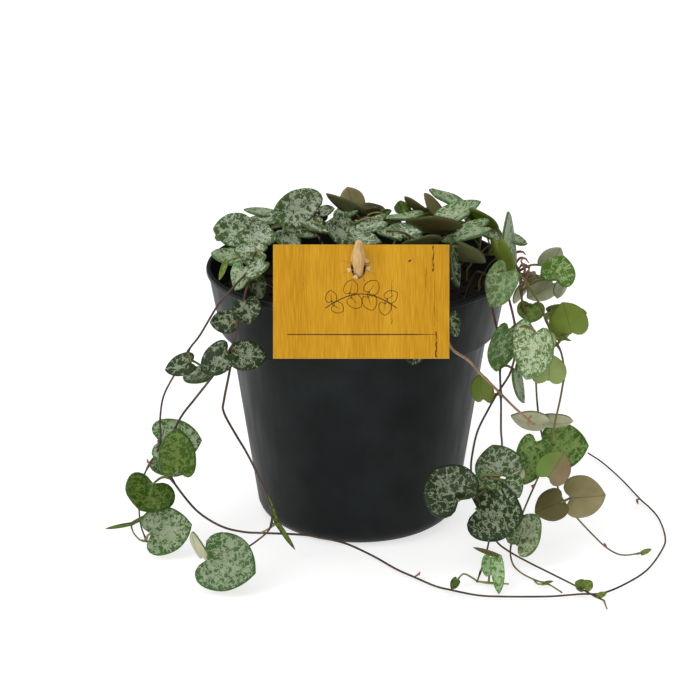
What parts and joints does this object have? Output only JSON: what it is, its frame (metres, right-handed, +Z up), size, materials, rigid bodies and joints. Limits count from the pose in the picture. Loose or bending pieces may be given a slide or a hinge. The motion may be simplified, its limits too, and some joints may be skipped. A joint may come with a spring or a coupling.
{
  "type": "potted trailing house plant",
  "caption": "String of hearts in a dark nursery pot: thin stems with patterned heart-shaped leaves trail over the rim, and a blank card hangs on a wooden pick.",
  "frame": {"origin": "centre of the pot's underside, on the surface that it stands on", "axes": "+Z up along the pot's axis; -Y is the front, where the card is; +X is to the right of someone facing the front"},
  "size_m": [0.2219, 0.168, 0.1335],
  "materials": {
    "moulded_polypropylene": "charcoal, satin",
    "peat_compost": "dark brown, crumbly",
    "printed_card": "printed, warm orange",
    "beech_pick": "bare pale wood",
    "leaf": "waxy, dark green blotches on silver green"
  },
  "bodies": {
    "root": {"pot": "moulded_polypropylene", "soil": "peat_compost", "card": "printed_card", "pick": "beech_pick", "crown_back_1": "leaf", "crown_back_2": "leaf", "crown_back_3": "leaf", "crown_back_4": "leaf", "crown_back_5": "leaf", "crown_left_low": "leaf", "crown_left_top": "leaf", "crown_mid": "leaf", "crown_mid_left": "leaf", "crown_mid_right": "leaf", "crown_right": "leaf", "crown_right_edge": "leaf", "flower_stalk": "leaf", "trail_far_left": "leaf", "trail_right_back": "leaf", "trail_right_front": "leaf", "trail_right_mid": "leaf", "trail_right_outer": "leaf", "trail_runner": "leaf"}
  },
  "joints": []
}
